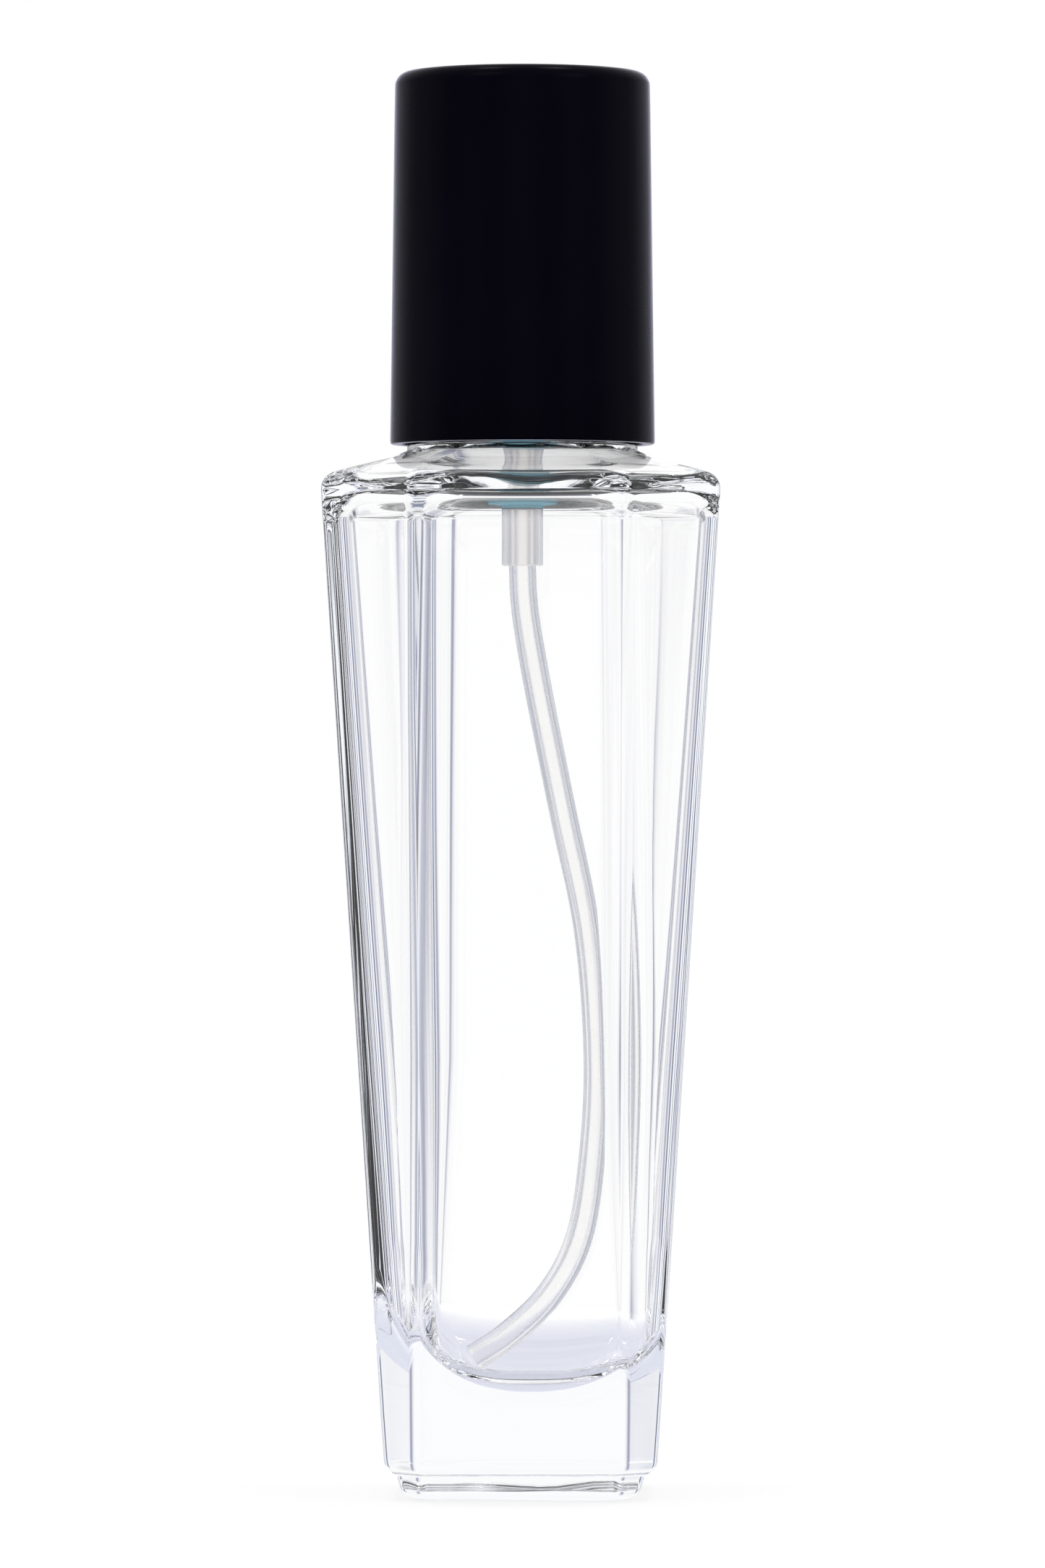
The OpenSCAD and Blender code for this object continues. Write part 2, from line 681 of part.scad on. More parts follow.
// a rod of radius r along the tube's line, run past both ends by a length
module along_tube(r, past) {
    n = len(tube_line) - 1;
    skin([for (i = [0:n])
        let (a = tube_line[max(0, i - 1)], b = tube_line[min(n, i + 1)],
            t = (b - a) / norm(b - a),
            p = tube_line[i] + t * (i == 0 ? -past : i == n ? past : 0))
        [for (j = [0:tube_sides - 1])
            let (s = 360 * j / tube_sides)
            [p.x + r * cos(s) * t.y, r * sin(s), p.y - r * cos(s) * t.x]]]);
}

module dip_tube() {
    color([0.95, 0.95, 0.93, 0.8])
    difference() {
        along_tube(tube_d / 2 - fit_gap, 0);
        along_tube(tube_bore_d / 2, over / 2);
    }
}

// ---- overcap ----

module cap_liner() {
    z_liner_top = z_shelf + liner_shelf_t;
    rib_r = collar_r + run_gap;
    skin_gap = fit_gap;
    function inside(z) = cap_side(z, cap_bore_r) - skin_gap;
    color([0.2, 0.2, 0.21])
    union() {
        lathe([[inside(z_liner) - liner_t, z_liner], [inside(z_liner), z_liner],
            [inside(z_liner_top), z_liner_top],
            [button_r + 1, z_liner_top], [button_r + 1, z_shelf],
            [inside(z_shelf) - liner_t, z_shelf]]);
        for (i = [0:liner_ribs - 1])
            rotate([0, 0, 360 * i / liner_ribs])
                translate([rib_r, -liner_rib_w / 2, z_liner + 1])
                    cube([inside(z_shelf) - run_gap - rib_r, liner_rib_w,
                        z_shelf - z_liner - 1]);
    }
}

module cap_shell() {
    top_r = cap_side(z_cap_top, cap_r);
    color([0.04, 0.035, 0.06])
    lathe([[cap_bore_r, z_cap], [cap_r - cap_mouth_edge, z_cap],
        [cap_r, z_cap + cap_mouth_edge],
        for (t = [0:10:90])
            [top_r - cap_edge_r + cap_edge_r * cos(t),
                z_cap_top - cap_edge_r + cap_edge_r * sin(t)],
        [0, z_cap_top], [0, z_cap_inside], [cap_side(z_cap_inside, cap_bore_r), z_cap_inside]]);
}

glass_bottle();
neck_gasket();
screw_collar();
pump_housing();
ball_cage();
inlet_ball();
return_spring();
piston_seat();
piston();
stem();
turret();
button();
nozzle_insert();
dip_tube();
cap_liner();
cap_shell();
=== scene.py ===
"""Looks of the aftershave spray bottle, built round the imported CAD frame.

All sizes below are in millimetres until a mesh is made, and then in metres.
"""

import math

import bpy
import numpy as np
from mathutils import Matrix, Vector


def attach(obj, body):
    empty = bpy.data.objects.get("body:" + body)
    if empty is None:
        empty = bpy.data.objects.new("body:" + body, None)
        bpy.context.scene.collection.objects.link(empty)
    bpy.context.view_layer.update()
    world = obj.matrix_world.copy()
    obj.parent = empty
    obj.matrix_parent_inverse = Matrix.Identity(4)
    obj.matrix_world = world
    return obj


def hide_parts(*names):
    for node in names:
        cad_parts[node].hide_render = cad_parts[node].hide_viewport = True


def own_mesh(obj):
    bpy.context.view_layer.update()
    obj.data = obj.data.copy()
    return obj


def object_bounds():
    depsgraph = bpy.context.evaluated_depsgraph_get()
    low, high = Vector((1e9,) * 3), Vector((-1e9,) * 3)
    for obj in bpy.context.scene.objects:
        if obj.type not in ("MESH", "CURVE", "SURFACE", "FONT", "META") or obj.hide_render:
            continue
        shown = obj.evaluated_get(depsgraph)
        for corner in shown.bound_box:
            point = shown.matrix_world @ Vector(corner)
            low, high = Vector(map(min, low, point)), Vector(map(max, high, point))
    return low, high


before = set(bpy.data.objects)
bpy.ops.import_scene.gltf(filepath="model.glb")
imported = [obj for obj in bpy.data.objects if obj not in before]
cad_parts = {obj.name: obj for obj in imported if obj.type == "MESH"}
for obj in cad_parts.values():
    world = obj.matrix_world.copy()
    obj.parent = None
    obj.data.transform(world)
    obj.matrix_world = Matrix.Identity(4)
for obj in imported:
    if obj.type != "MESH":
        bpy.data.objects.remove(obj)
cad_box = [[float(v) for v in corner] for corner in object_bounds()]

MM = 0.001

# the part's own sizes, as in its source: half widths at the body's foot and at its rim
WALL = (24.9 / 2, 36.6 / 2)
FLAT = (19.2 / 2, 20.0 / 2)
Z_BODY, BODY_H = 2.5, 91.0
Z_RIM = Z_BODY + BODY_H
EDGE_R, BASE_EDGE_R, RIM_EDGE_R = 1.5, 1.2, 1.7
SHOULDER_RISE = 2.6
FOOT_INSET, FOOT_TAPER, FOOT_EDGE_R, FOOT_COVE = 1.2, 0.45, 1.45, 0.55
PUNT_R, PUNT_DEPTH = 7.5, 0.4
BASE_T = 9.9
# the cavity at its floor and at its top: wall at front and sides, half flats, corners
FRONT_T, SIDE_T = (2.42, 1.94), (1.96, 1.54)
FRONT_FLAT, SIDE_FLAT = (9.70, 8.05), (8.10, 9.24)
CAV_CORNER_R = (7.5, 5.5)
CEILING_R, SHOULDER_T = 3.0, 2.0
# the bowl of the cavity's floor: how far it climbs each wall, where it starts, its flattest slope
FRONT_RISE, BACK_RISE, LEFT_RISE, RIGHT_RISE = 2.4, 6.5, 11.0, 8.0
Z_BOWL, BOWL_SLOPE = 24, math.radians(6)
CAVITY_SHIFT = (0.75, 0.5)
SEAT_R = 10.65
Z_SEAT_FOOT = Z_RIM + SHOULDER_RISE
Z_SEAT = Z_SEAT_FOOT + 0.5
NECK_R, BORE_R, NECK_H = 7.75, 4.7, 14.0
LIP_R, BORE_LIP_R, THROAT_LIP = 0.6, 0.4, 0.6
Z_NECK_TOP = Z_SEAT + NECK_H
Z_THROAT = Z_SEAT_FOOT - 0.1
TAPER = (WALL[1] - WALL[0]) / BODY_H
TAPER_ANGLE = math.atan(TAPER)
PITCH, THREAD_TURNS, THREAD_LAND = 2.117, 2.25, 1.9
THREAD_SINK, THREAD_DEPTH, THREAD_FADE = 0.3, 1.05, 40
ROOT_W, CREST_W, CREST_EDGE = 1.15, 0.6, 0.12
Z_THREAD = Z_NECK_TOP - THREAD_LAND - THREAD_TURNS * PITCH

Z_CHAMBER, Z_SOCKET_TOP, Z_SOCKET = 96.3, 95.4, 85.5
HOUSING_R, CHAMBER_R, SOCKET_R = 3.2, 2.5, 1.9
TUBE_R, TUBE_BORE_R, TUBE_SIDES = 1.25, 0.65, 24
SOCKET_BORE_R = 1.3
Z_FLANGE, Z_FLANGE_TOP, FLANGE_R = 111.4, 112.4, 7.9
TUBE_GRIP = 8.4
Z_TIP = 12.6
TUBE_BOW = 6.9
# the tube's route below its socket, as shares of its bow and of its height
ROUTE = [(0, 1), (0.04, 0.94), (0.22, 0.84), (0.54, 0.69), (0.87, 0.54), (1, 0.38),
         (0.93, 0.25), (0.75, 0.15), (0.36, 0.08), (-0.18, 0.03), (-0.65, 0)]

CAP_R, CAP_WALL, CAP_DRAFT, CAP_EDGE_R = 12.2, 1.15, math.radians(0.75), 1.3
Z_CAP, Z_CAP_INSIDE, Z_CAP_TOP = 96.7, 129.6, 131.0
SPRING_WIRE_R, SPRING_R, SPRING_TURNS, Z_SPRING = 0.2, 1.95, 5.5, (100.1, 106.85)

# the photograph's camera, in metres and radians, and its scale
AZIMUTH, DISTANCE, HEIGHT = math.radians(1.1), 0.8667, 0.0654
PHOTO_HEIGHT, PIXELS_PER_MM, SENSOR = 2168, 15, 36


# ---- small helpers ----

def mix(a, b, t):
    return a + (b - a) * t


def unit(t):
    return np.array([math.cos(t), math.sin(t)])


def arc_centre(p, m, n, r):
    m, n = np.array(m), np.array(n)
    return np.array(p) - (m + n) * r / (1 + m.dot(n))


def new_mesh(name, verts, faces, material):
    """A mesh object from millimetre points, with normals that keep flats flat."""
    verts = np.asarray(verts, float)
    mesh = bpy.data.meshes.new(name)
    mesh.from_pydata((verts * MM).tolist(), [], faces)
    mesh.validate()
    mesh.update()
    mesh.polygons.foreach_set("use_smooth", [True] * len(mesh.polygons))
    area = np.empty(len(mesh.polygons))
    normal = np.empty(len(mesh.polygons) * 3)
    mesh.polygons.foreach_get("area", area)
    mesh.polygons.foreach_get("normal", normal)
    normal = normal.reshape(-1, 3)
    total = np.zeros((len(mesh.vertices), 3))
    for poly in mesh.polygons:
        for v in poly.vertices:
            total[v] += normal[poly.index] * area[poly.index] ** 1.5
    length = np.linalg.norm(total, axis=1)
    length[length == 0] = 1
    mesh.normals_split_custom_set_from_vertices((total / length[:, None]).tolist())
    obj = bpy.data.objects.new(name, mesh)
    bpy.context.collection.objects.link(obj)
    mesh.materials.append(material)
    return obj


def volume_of(verts, faces):
    """Signed volume, to tell whether the faces look outwards."""
    v = np.asarray(verts, float)
    total = 0.0
    for f in faces:
        for i in range(1, len(f) - 1):
            total += np.dot(v[f[0]], np.cross(v[f[i]], v[f[i + 1]]))
    return total / 6


def outwards(verts, faces):
    return [tuple(reversed(f)) for f in faces] if volume_of(verts, faces) < 0 else faces


def skin(rings, start=None, end=None, closed=False):
    """Quads through rings of equally many points; start and end are pole points."""
    n = len(rings[0])
    verts = [p for ring in rings for p in ring]
    faces = []
    count = len(rings)
    for j in range(count if closed else count - 1):
        lo, hi = j * n, (j + 1) % count * n
        for i in range(n):
            k = (i + 1) % n
            faces.append((lo + i, lo + k, hi + k, hi + i))
    if start is not None:
        verts.append(start)
        c = len(verts) - 1
        faces += [(c, (i + 1) % n, i) for i in range(n)]
    if end is not None:
        verts.append(end)
        c = len(verts) - 1
        base = (count - 1) * n
        faces += [(c, base + i, base + (i + 1) % n) for i in range(n)]
    return verts, outwards(verts, faces)


def join(*parts):
    verts, faces = [], []
    for v, f in parts:
        base = len(verts)
        verts += list(v)
        faces += [tuple(base + i for i in face) for face in f]
    return verts, faces


def profile(points, steps):
    """A solid of revolution from (radius, height) points; on the axis it ends in a pole."""
    points = list(points)
    start = end = None
    if points[0][0] == 0:
        start, points = (0, 0, points[0][1]), points[1:]
    if points[-1][0] == 0:
        end, points = (0, 0, points[-1][1]), points[:-1]
    rings = [[(r * math.cos(t), r * math.sin(t), z)
              for t in (2 * math.pi * i / steps for i in range(steps))] for r, z in points]
    return skin(rings, start, end, closed=start is None and end is None)


def rounded(points, radii, steps=5):
    """Points of a profile with its corners rounded; radii has one number for each point."""
    out = []
    n = len(points)
    for i, (p, r) in enumerate(zip(points, radii)):
        if r <= 0:
            out.append(tuple(p))
            continue
        p = np.array(p, float)
        a, b = np.array(points[i - 1], float), np.array(points[(i + 1) % n], float)
        u, v = a - p, b - p
        lu, lv = np.linalg.norm(u), np.linalg.norm(v)
        u, v = u / lu, v / lv
        half = math.acos(max(-1, min(1, u.dot(v)))) / 2
        reach = min(r / math.tan(half), 0.49 * lu, 0.49 * lv)
        r = reach * math.tan(half)
        mid = (u + v) / np.linalg.norm(u + v)
        centre = p + mid * r / math.sin(half)
        p0, p1 = p + u * reach - centre, p + v * reach - centre
        t0, t1 = math.atan2(p0[1], p0[0]), math.atan2(p1[1], p1[0])
        turn = (t1 - t0 + math.pi) % (2 * math.pi) - math.pi
        for s in range(steps + 1):
            t = t0 + turn * s / steps
            out.append((centre[0] + r * math.cos(t), centre[1] + r * math.sin(t)))
    return out


# ---- materials ----

def material(name):
    mat = bpy.data.materials.new(name)
    mat.use_nodes = True
    tree = mat.node_tree
    tree.nodes.clear()
    out = tree.nodes.new("ShaderNodeOutputMaterial")
    bsdf = tree.nodes.new("ShaderNodeBsdfPrincipled")
    tree.links.new(bsdf.outputs[0], out.inputs["Surface"])
    return mat, tree, bsdf, out


def noise(tree, scale, detail, rough, seed, stretch=(1, 1, 1)):
    coords = tree.nodes.new("ShaderNodeTexCoord")
    place = tree.nodes.new("ShaderNodeMapping")
    place.inputs["Scale"].default_value = stretch
    place.inputs["Location"].default_value = (seed, seed * 0.37, seed * 0.71)
    tex = tree.nodes.new("ShaderNodeTexNoise")
    tex.inputs["Scale"].default_value = scale
    tex.inputs["Detail"].default_value = detail
    tex.inputs["Roughness"].default_value = rough
    tree.links.new(coords.outputs["Object"], place.inputs["Vector"])
    tree.links.new(place.outputs[0], tex.inputs["Vector"])
    return tex


def ramp(tree, source, stops):
    node = tree.nodes.new("ShaderNodeValToRGB")
    while len(node.color_ramp.elements) < len(stops):
        node.color_ramp.elements.new(0.5)
    for element, (place, colour) in zip(node.color_ramp.elements, stops):
        element.position = place
        element.color = (*colour, 1)
    tree.links.new(source.outputs[0], node.inputs[0])
    return node


def spread(tree, source, low, high):
    """Noise, whose values lie mostly between 0.3 and 0.7, mapped to a range."""
    node = tree.nodes.new("ShaderNodeMapRange")
    node.inputs["From Min"].default_value = 0.3
    node.inputs["From Max"].default_value = 0.7
    node.inputs["To Min"].default_value = low
    node.inputs["To Max"].default_value = high
    tree.links.new(source.outputs[0], node.inputs["Value"])
    return node


def smooth(tree, value, low, high, to_low=0.0, to_high=1.0):
    node = tree.nodes.new("ShaderNodeMapRange")
    node.interpolation_type = "SMOOTHSTEP"
    node.inputs["From Min"].default_value = low
    node.inputs["From Max"].default_value = high
    node.inputs["To Min"].default_value = to_low
    node.inputs["To Max"].default_value = to_high
    tree.links.new(value, node.inputs["Value"])
    return node.outputs[0]


def bump(tree, source, bsdf, distance):
    node = tree.nodes.new("ShaderNodeBump")
    node.inputs["Strength"].default_value = 1.0
    node.inputs["Distance"].default_value = distance
    tree.links.new(source.outputs[0], node.inputs["Height"])
    tree.links.new(node.outputs[0], bsdf.inputs["Normal"])


MOTTLE = 60


def plastic(name, dark, light, rough, level, scale, depth, through=0.0, ior=1.49,
            sheen=0.0, sheen_rough=0.3, sheen_tint=(1, 1, 1)):
    """Moulded plastic: faint mottling, a fine moulded grain and uneven gloss."""
    mat, tree, bsdf, _ = material(name)
    wide = noise(tree, MOTTLE, 4, 0.55, 1.3)
    colour = ramp(tree, wide, [(0.3, dark), (0.7, light)])
    tree.links.new(colour.outputs[0], bsdf.inputs["Base Color"])
    gloss = noise(tree, MOTTLE * 2.7, 5, 0.6, 4.1)
    tree.links.new(spread(tree, gloss, rough[0], rough[1]).outputs[0], bsdf.inputs["Roughness"])
    bsdf.inputs["IOR"].default_value = ior
    bsdf.inputs["Specular IOR Level"].default_value = level
    bsdf.inputs["Transmission Weight"].default_value = through
    bsdf.inputs["Sheen Weight"].default_value = sheen
    bsdf.inputs["Sheen Roughness"].default_value = sheen_rough
    bsdf.inputs["Sheen Tint"].default_value = (*sheen_tint, 1)
    grain = noise(tree, scale, 6, 0.65, 2.2)
    bump(tree, grain, bsdf, depth)
    return mat


def glass_material():
    mat, tree, bsdf, out = material("clear_glass")
    bsdf.inputs["Base Color"].default_value = (1, 1, 1, 1)
    bsdf.inputs["IOR"].default_value = 1.51
    bsdf.inputs["Transmission Weight"].default_value = 1
    bsdf.inputs["Roughness"].default_value = 0.0
    waves = noise(tree, 55, 2, 0.4, 3.4, stretch=(1, 1, 0.45))
    bump(tree, waves, bsdf, 0.00006)
    absorb = tree.nodes.new("ShaderNodeVolumeAbsorption")
    absorb.inputs["Color"].default_value = (0.78, 0.83, 0.90, 1)
    absorb.inputs["Density"].default_value = 6.0
    tree.links.new(absorb.outputs[0], out.inputs["Volume"])
    return mat


def steel(name, colour, rough, scale, stretch):
    mat, tree, bsdf, _ = material(name)
    lines = noise(tree, scale, 5, 0.6, 5.5, stretch)
    tint = ramp(tree, lines, [(0.3, tuple(c * 0.82 for c in colour)), (0.7, colour)])
    tree.links.new(tint.outputs[0], bsdf.inputs["Base Color"])
    tree.links.new(spread(tree, lines, rough * 0.7, rough * 1.4).outputs[0],
                   bsdf.inputs["Roughness"])
    bsdf.inputs["Metallic"].default_value = 1
    bump(tree, lines, bsdf, 0.000004)
    return mat


TEAL_FROM, TEAL_TO = 0.0937, 0.0941


def housing_material():
    """Natural plastic, tinted teal and closed to light above the socket."""
    mat = plastic("housing_natural", (0.985, 0.975, 0.968), (0.998, 0.990, 0.982), (0.26, 0.36),
                  level=0.5, scale=500, depth=0.000004, through=1.0, ior=1.25)
    tree = mat.node_tree
    bsdf = tree.nodes["Principled BSDF"]
    natural = bsdf.inputs["Base Color"].links[0].from_socket
    place = tree.nodes.new("ShaderNodeTexCoord")
    parts = tree.nodes.new("ShaderNodeSeparateXYZ")
    tree.links.new(place.outputs["Object"], parts.inputs[0])
    step = smooth(tree, parts.outputs[2], TEAL_FROM, TEAL_TO)
    tinted = tree.nodes.new("ShaderNodeMix")
    tinted.data_type = "RGBA"
    tinted.inputs[7].default_value = (0.28, 0.66, 0.80, 1)
    tree.links.new(step, tinted.inputs[0])
    tree.links.new(natural, tinted.inputs[6])
    tree.links.new(tinted.outputs[2], bsdf.inputs["Base Color"])
    clear = tree.nodes.new("ShaderNodeMapRange")
    clear.inputs["To Min"].default_value = 1.0
    clear.inputs["To Max"].default_value = 0.0
    tree.links.new(step, clear.inputs["Value"])
    tree.links.new(clear.outputs[0], bsdf.inputs["Transmission Weight"])
    return mat


GLASS = glass_material()
CAP = plastic("cap_satin", (0.0008, 0.0005, 0.0024), (0.0013, 0.0009, 0.0036), (0.24, 0.32),
              level=0.02, scale=1500, depth=0.000003, sheen=1.0, sheen_rough=0.2,
              sheen_tint=(0.82, 0.80, 1.0))
LINER = plastic("liner_white", (0.80, 0.80, 0.80), (0.88, 0.88, 0.88), (0.36, 0.50),
                level=0.45, scale=900, depth=0.00001)
BUTTON = plastic("button_gloss", (0.010, 0.009, 0.013), (0.015, 0.013, 0.018), (0.18, 0.30),
                 level=0.4, scale=1100, depth=0.000006)
GASKET = plastic("gasket_teal", (0.16, 0.52, 0.66), (0.22, 0.60, 0.74), (0.45, 0.60),
                 level=0.4, scale=700, depth=0.00001)
CAGE = plastic("cage_teal", (0.030, 0.33, 0.43), (0.045, 0.40, 0.52), (0.30, 0.42),
               level=0.45, scale=700, depth=0.000006)
WHITE = plastic("pump_white", (0.78, 0.78, 0.75), (0.86, 0.86, 0.83), (0.28, 0.40),
                level=0.45, scale=800, depth=0.000006)
HOUSING = housing_material()
TUBE = plastic("tube_natural", (0.993, 0.988, 0.980), (1.0, 0.998, 0.992), (0.22, 0.32),
               level=0.5, scale=300, depth=0.000004, through=1.0, ior=1.23)
STEEL_WIRE = steel("steel_wire", (0.62, 0.63, 0.65), 0.22, 1800, (1, 1, 4))
STEEL_BALL = steel("steel_ball", (0.74, 0.75, 0.77), 0.08, 900, (1, 1, 1))


# ---- glass ----

EDGE_STEPS, FLAT_STEPS, CUT_STEPS = 8, 10, 5


def wall_at(z):
    return mix(WALL[0], WALL[1], (z - Z_BODY) / BODY_H)


def flat_at(z):
    return mix(FLAT[0], FLAT[1], (z - Z_BODY) / BODY_H)


def outline(size, flats, r, w):
    """Octagon of half sizes (x, y) whose front and side flats have the given half widths,
    corners rounded by r, blended to a circle of radius x by share w."""
    (ax, ay), (fx, fy) = size, flats
    corners = [np.array(p) for p in ((fx, -ay), (ax, -fy), (ax, fy), (fx, ay),
                                     (-fx, ay), (-ax, fy), (-ax, -fy), (-fx, -ay))]
    sides = [corners[(k + 1) % 8] - corners[k] for k in range(8)]
    angles = [math.atan2(-d[0], d[1]) for d in sides]
    arcs = []
    for k in range(8):
        turn = (angles[k] - angles[k - 1]) % (2 * math.pi)
        room = min(np.linalg.norm(sides[k - 1]), np.linalg.norm(sides[k]))
        radius = max(0.02, min(r, 0.49 * room / math.tan(turn / 2)))
        centre = corners[k] - unit(angles[k - 1] + turn / 2) * radius / math.cos(turn / 2)
        arcs.append([centre + radius * unit(angles[k - 1] + turn * j / EDGE_STEPS)
                     for j in range(EDGE_STEPS + 1)])
    points = []
    for k in range(8):
        points += arcs[k]
        a0, b0 = arcs[k][-1], arcs[(k + 1) % 8][0]
        steps = CUT_STEPS if k % 2 == 0 else FLAT_STEPS
        points += [mix(a0, b0, s / steps) for s in range(1, steps)]
    return [mix(p, p * ax / np.linalg.norm(p), w) for p in points]


def outer_ring(z, a, w=0.0):
    """The body's ring at a height, moved in until its half width is a."""
    flat = flat_at(z) - (math.sqrt(2) - 1) * (wall_at(z) - a)
    return [(p[0], p[1], z) for p in outline((a, a), (flat, flat), EDGE_R, w)]


def cavity_at(z):
    """Half sizes, half flats and corner radius of the cavity at a height."""
    up = (z - BASE_T) / (Z_RIM - BASE_T)
    side, front, front_flat, side_flat, corner = (
        mix(low, high, up) for low, high in (SIDE_T, FRONT_T, FRONT_FLAT, SIDE_FLAT,
                                             CAV_CORNER_R))
    return (np.array((wall_at(z) - side, wall_at(z) - front)),
            np.array((front_flat, side_flat)), corner)


def cavity_ring(z, a, w=0.0):
    """The cavity's ring at a height, moved in until its half width is a."""
    size, flats, corner = cavity_at(z)
    inward = size[0] - a
    return [(p[0], p[1], z) for p in outline(size - inward,
                                             flats - (math.sqrt(2) - 1) * inward, corner, w)]


def at_heights(heights, share, w):
    """A ring on the cavity's walls, scaled by a share, whose points each have a height."""
    lo, hi = min(heights), max(heights) + 1e-6
    rings = []
    for z in (lo, hi):
        size, flats, corner = cavity_at(z)
        rings.append(outline(size * share, flats * share, corner * share, w))
    out = []
    for p, q, z in zip(*rings, heights):
        m = mix(p, q, (z - lo) / (hi - lo))
        out.append((m[0], m[1], z))
    return out


def circle_like(r, z):
    return [(p[0], p[1], z) for p in outline((r, r), (0.55 * r, 0.55 * r), r, 1.0)]


def swell(t, waves):
    """A smooth uneven number from -1 to 1 round the bottle, from a few fixed waves."""
    total = sum(size * math.sin(count * t + shift) for count, size, shift in waves)
    return total / sum(abs(size) for _, size, _ in waves)


FOOT_WAVES = ((2, 1.0, 0.6), (3, 0.8, 2.1), (5, 0.9, 4.0), (9, 0.6, 1.2), (14, 0.35, 5.1))
EDGE_WAVES = ((3, 1.0, 3.3), (4, 0.7, 0.4), (7, 0.9, 1.9), (12, 0.6, 5.6), (19, 0.4, 2.7))
# they wave below this height and beyond this radius, by these lengths
WAVY_BELOW, WAVY_BEYOND = 6, 6
FOOT_LIFT, FOOT_PUSH, EDGE_LIFT, EDGE_PULL = 0.14, 0.10, 0.09, 0.06


def uneven(p):
    """Fire-polished glass isn't quite true: the foot and the body's lower edge wave."""
    x, y, z = p
    r = math.hypot(x, y)
    if z > WAVY_BELOW or r < WAVY_BEYOND:
        return p
    t = math.atan2(y, x)
    near = max(0.0, 1 - abs(z - 0.2) / 2.0)
    lift = (FOOT_LIFT * (1 + swell(t, FOOT_WAVES)) * near * near
            * min(1, (r - WAVY_BEYOND) / 3))
    push = FOOT_PUSH * swell(t + 0.3 * z, FOOT_WAVES) * near
    edge = max(0.0, 1 - abs(z - 3.0) / 1.6)
    lift += EDGE_LIFT * swell(t, EDGE_WAVES) * edge * edge
    push -= EDGE_PULL * (1 + swell(t, EDGE_WAVES)) * edge
    return (x + x / r * push, y + y / r * push, z + lift)


